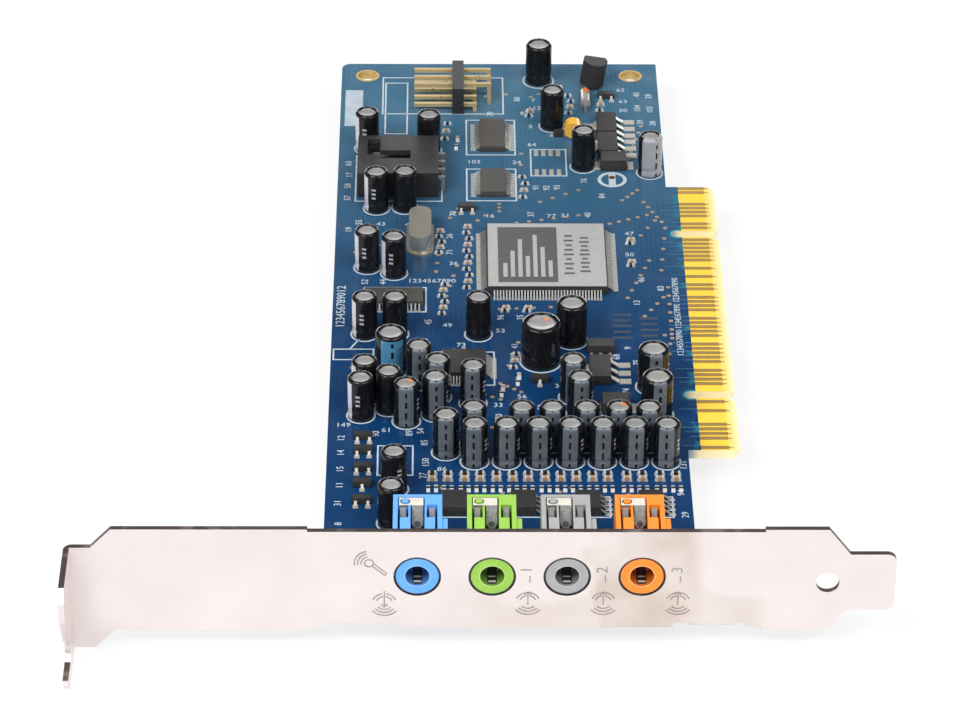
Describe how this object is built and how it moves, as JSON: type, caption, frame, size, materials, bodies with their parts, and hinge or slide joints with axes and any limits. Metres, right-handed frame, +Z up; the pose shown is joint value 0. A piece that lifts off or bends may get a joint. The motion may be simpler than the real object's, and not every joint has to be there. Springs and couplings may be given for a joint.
{
  "type": "pci sound card",
  "caption": "Low PCI sound card with audio jacks in a full-height slotted metal bracket, a keyed edge connector, wound capacitors, flat chips, a pin header and an audio cable socket.",
  "frame": {"origin": "tip of the edge connector, level with contact 1, in the component face of the board", "axes": "+X out of the edge connector into the slot, +Y along the connector away from the bracket, +Z up from the component face"},
  "size_m": [0.1219, 0.1734, 0.0216],
  "materials": {
    "board_laminate": "gloss",
    "contact_gold": "satin",
    "bracket_nickel": "satin",
    "screw_nickel": "satin",
    "jack_blue": "satin",
    "jack_green": "satin",
    "jack_grey": "satin",
    "jack_orange": "satin",
    "spring_metal": "satin",
    "can_sleeve": "gloss",
    "crystal_steel": "satin",
    "connector_black": "matte",
    "pin_gold": "satin",
    "solder": "gloss",
    "diode_glass": "gloss",
    "dipped_resin": "gloss",
    "chip_ceramic": "matte",
    "chip_resistor": "matte",
    "lead_tin": "satin",
    "package_epoxy": "matte"
  },
  "bodies": {
    "root": {"aux_connector_housing": "connector_black", "aux_connector_pins": "pin_gold", "bracket": "bracket_nickel", "bracket_screw": "screw_nickel", "capacitor_6mm": "can_sleeve", "capacitor_by_header": "can_sleeve", "capacitor_nonpolar": "can_sleeve", "capacitors_4mm": "can_sleeve", "capacitors_5mm": "can_sleeve", "chip_capacitors": "chip_ceramic", "chip_resistors": "chip_resistor", "circuit_board": "board_laminate", "codec_body": "package_epoxy", "codec_leads": "lead_tin", "contacts_component_side": "contact_gold", "contacts_solder_side": "contact_gold", "converter_bodies": "package_epoxy", "converter_leads": "lead_tin", "crystal_base": "crystal_steel", "crystal_can": "crystal_steel", "dipped_capacitor_body": "dipped_resin", "dipped_capacitor_leads": "lead_tin", "glass_diode_body": "diode_glass", "glass_diode_leads": "lead_tin", "header_pins": "pin_gold", "header_strip": "connector_black", "jack_housing_blue": "jack_blue", "jack_housing_green": "jack_green", "jack_housing_grey": "jack_grey", "jack_housing_orange": "jack_orange", "jack_springs_blue": "spring_metal", "jack_springs_green": "spring_metal", "jack_springs_grey": "spring_metal", "jack_springs_orange": "spring_metal", "op_amp_bodies": "package_epoxy", "op_amp_leads": "lead_tin", "power_diode_bodies": "package_epoxy", "power_diode_terminals": "lead_tin", "processor_body": "package_epoxy", "processor_leads": "lead_tin", "reference_body": "package_epoxy", "reference_leads": "lead_tin", "regulator_bodies": "package_epoxy", "regulator_leads": "lead_tin", "signal_diode": "package_epoxy", "solder_joints": "solder", "standing_transistor_body": "package_epoxy", "standing_transistor_leads": "lead_tin", "transistor_bodies": "package_epoxy", "transistor_leads": "lead_tin"}
  },
  "joints": []
}
